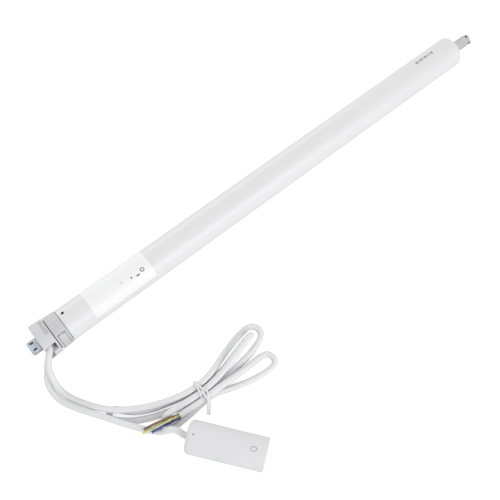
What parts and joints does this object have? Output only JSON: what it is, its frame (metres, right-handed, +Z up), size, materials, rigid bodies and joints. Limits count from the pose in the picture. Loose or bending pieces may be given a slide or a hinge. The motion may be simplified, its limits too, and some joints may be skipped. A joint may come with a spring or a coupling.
{
  "type": "tubular roller shade motor",
  "caption": "Tubular motor for a roller shade, with a drive crown, square output shaft, bracket tongue, coiled power cable and wired radio receiver.",
  "frame": {"origin": "centre of the head's end face, on the motor's axis", "axes": "+X along the motor's axis towards the drive shaft, +Z up from the table the motor lies on"},
  "size_m": [0.6088, 0.2481, 0.0394],
  "materials": {
    "white_paint": "gloss",
    "head_plastic": "fine texture",
    "crown_plastic": "fine texture",
    "zinc_casting": "plated",
    "dark_steel": "blackened",
    "spring_steel": "plain",
    "label_paper": "satin",
    "circuit_board": "solder mask",
    "black_component": "plain",
    "inner_plastic": "plain",
    "capacitor_shell": "plain",
    "winding_copper": "lacquered",
    "core_steel": "laminated",
    "shaft_steel": "ground",
    "gear_steel": "sintered",
    "die_cast": "cast",
    "bush_bronze": "plain",
    "magnet_black": "plain",
    "receiver_plastic": "satin",
    "button_plastic": "satin",
    "lens_dark": "clear",
    "cable_jacket": "satin",
    "core_brown": "plain",
    "core_yellow_green": "striped",
    "core_blue": "plain",
    "tie_plastic": "gloss"
  },
  "bodies": {
    "motor": {"motor_tube": "white_paint", "head_body": "head_plastic", "bracket_tongue": "zinc_casting", "bracket_screws": "spring_steel", "cable_clamp": "inner_plastic", "crown_clip": "spring_steel", "encoder_pin": "shaft_steel", "sensor_board": "circuit_board", "tube_screws": "dark_steel", "rating_label": "label_paper", "board_tray": "inner_plastic", "control_board": "circuit_board", "board_relays": "black_component", "board_parts": "black_component", "capacitor": "capacitor_shell", "capacitor_saddles": "inner_plastic", "brake_coil": "core_steel", "rear_shield": "die_cast", "front_shield": "die_cast", "motor_bearings": "shaft_steel", "stator_core": "core_steel", "stator_windings": "winding_copper", "ring_gear": "inner_plastic", "gear_input_plate": "die_cast", "gear_end_plate": "die_cast", "output_bush": "bush_bronze", "receiver_case": "receiver_plastic", "receiver_cap": "receiver_plastic", "receiver_gland": "inner_plastic", "receiver_board": "circuit_board", "receiver_parts": "black_component", "receiver_lens": "lens_dark", "power_lead": "cable_jacket", "power_hank": "cable_jacket", "receiver_lead": "cable_jacket", "twist_tie": "tie_plastic", "tie_tail": "tie_plastic", "core_brown": "core_brown", "core_earth": "core_yellow_green", "core_blue": "core_blue"},
    "crown": {"crown_ring": "crown_plastic"},
    "encoder": {"encoder_pinion": "inner_plastic", "encoder_magnet": "magnet_black"},
    "rotor": {"rotor_core": "core_steel", "rotor_shaft": "shaft_steel", "first_sun": "gear_steel", "brake_disc": "gear_steel"},
    "carrier_one": {"first_carrier": "gear_steel"},
    "carrier_two": {"second_carrier": "gear_steel", "drive_shaft": "shaft_steel"},
    "button": {"program_button": "button_plastic"},
    "planet_one_a": {"first_planet_a": "gear_steel"},
    "planet_two_a": {"second_planet_a": "gear_steel"},
    "planet_one_b": {"first_planet_b": "gear_steel"},
    "planet_two_b": {"second_planet_b": "gear_steel"},
    "planet_one_c": {"first_planet_c": "gear_steel"},
    "planet_two_c": {"second_planet_c": "gear_steel"}
  },
  "joints": [
    {"name": "output_turn", "type": "hinge", "parent": "motor", "child": "carrier_two", "pos_m": [0.55, 0, 0], "axis": [1, 0, 0], "continuous": true},
    {"name": "carrier_one_spin", "type": "hinge", "parent": "motor", "child": "carrier_one", "pos_m": [0.52, 0, 0], "axis": [1, 0, 0], "continuous": true},
    {"name": "rotor_spin", "type": "hinge", "parent": "motor", "child": "rotor", "pos_m": [0.4, 0, 0], "axis": [1, 0, 0], "continuous": true},
    {"name": "crown_turn", "type": "hinge", "parent": "motor", "child": "crown", "pos_m": [0.022, 0, 0], "axis": [1, 0, 0], "continuous": true},
    {"name": "encoder_spin", "type": "hinge", "parent": "motor", "child": "encoder", "pos_m": [0.025, 0, 0.0128], "axis": [1, 0, 0], "continuous": true},
    {"name": "planet_two_a_spin", "type": "hinge", "parent": "carrier_two", "child": "planet_two_a", "pos_m": [0.53, 0, 0.00825], "axis": [1, 0, 0], "continuous": true},
    {"name": "planet_one_a_spin", "type": "hinge", "parent": "carrier_one", "child": "planet_one_a", "pos_m": [0.513, 0, 0.00825], "axis": [1, 0, 0], "continuous": true},
    {"name": "planet_two_b_spin", "type": "hinge", "parent": "carrier_two", "child": "planet_two_b", "pos_m": [0.53, -0.00714, -0.00413], "axis": [1, 0, 0], "continuous": true},
    {"name": "planet_one_b_spin", "type": "hinge", "parent": "carrier_one", "child": "planet_one_b", "pos_m": [0.513, -0.00714, -0.00413], "axis": [1, 0, 0], "continuous": true},
    {"name": "planet_two_c_spin", "type": "hinge", "parent": "carrier_two", "child": "planet_two_c", "pos_m": [0.53, 0.00714, -0.00413], "axis": [1, 0, 0], "continuous": true},
    {"name": "planet_one_c_spin", "type": "hinge", "parent": "carrier_one", "child": "planet_one_c", "pos_m": [0.513, 0.00714, -0.00413], "axis": [1, 0, 0], "continuous": true},
    {"name": "button_press", "type": "slide", "parent": "motor", "child": "button", "axis": [0, 0, -1], "range_m": [0, 0.0004], "stiffness_N_per_m": 900, "springref_m": -0.0003}
  ],
  "couplings": [
    {"joint": "carrier_one_spin", "follows": "rotor_spin", "ratio": 0.2},
    {"joint": "output_turn", "follows": "rotor_spin", "ratio": 0.04},
    {"joint": "encoder_spin", "follows": "crown_turn", "ratio": 4.2},
    {"joint": "planet_two_a_spin", "follows": "rotor_spin", "ratio": -0.10667},
    {"joint": "planet_one_a_spin", "follows": "rotor_spin", "ratio": -0.53333},
    {"joint": "planet_two_b_spin", "follows": "rotor_spin", "ratio": -0.10667},
    {"joint": "planet_one_b_spin", "follows": "rotor_spin", "ratio": -0.53333},
    {"joint": "planet_two_c_spin", "follows": "rotor_spin", "ratio": -0.10667},
    {"joint": "planet_one_c_spin", "follows": "rotor_spin", "ratio": -0.53333}
  ]
}
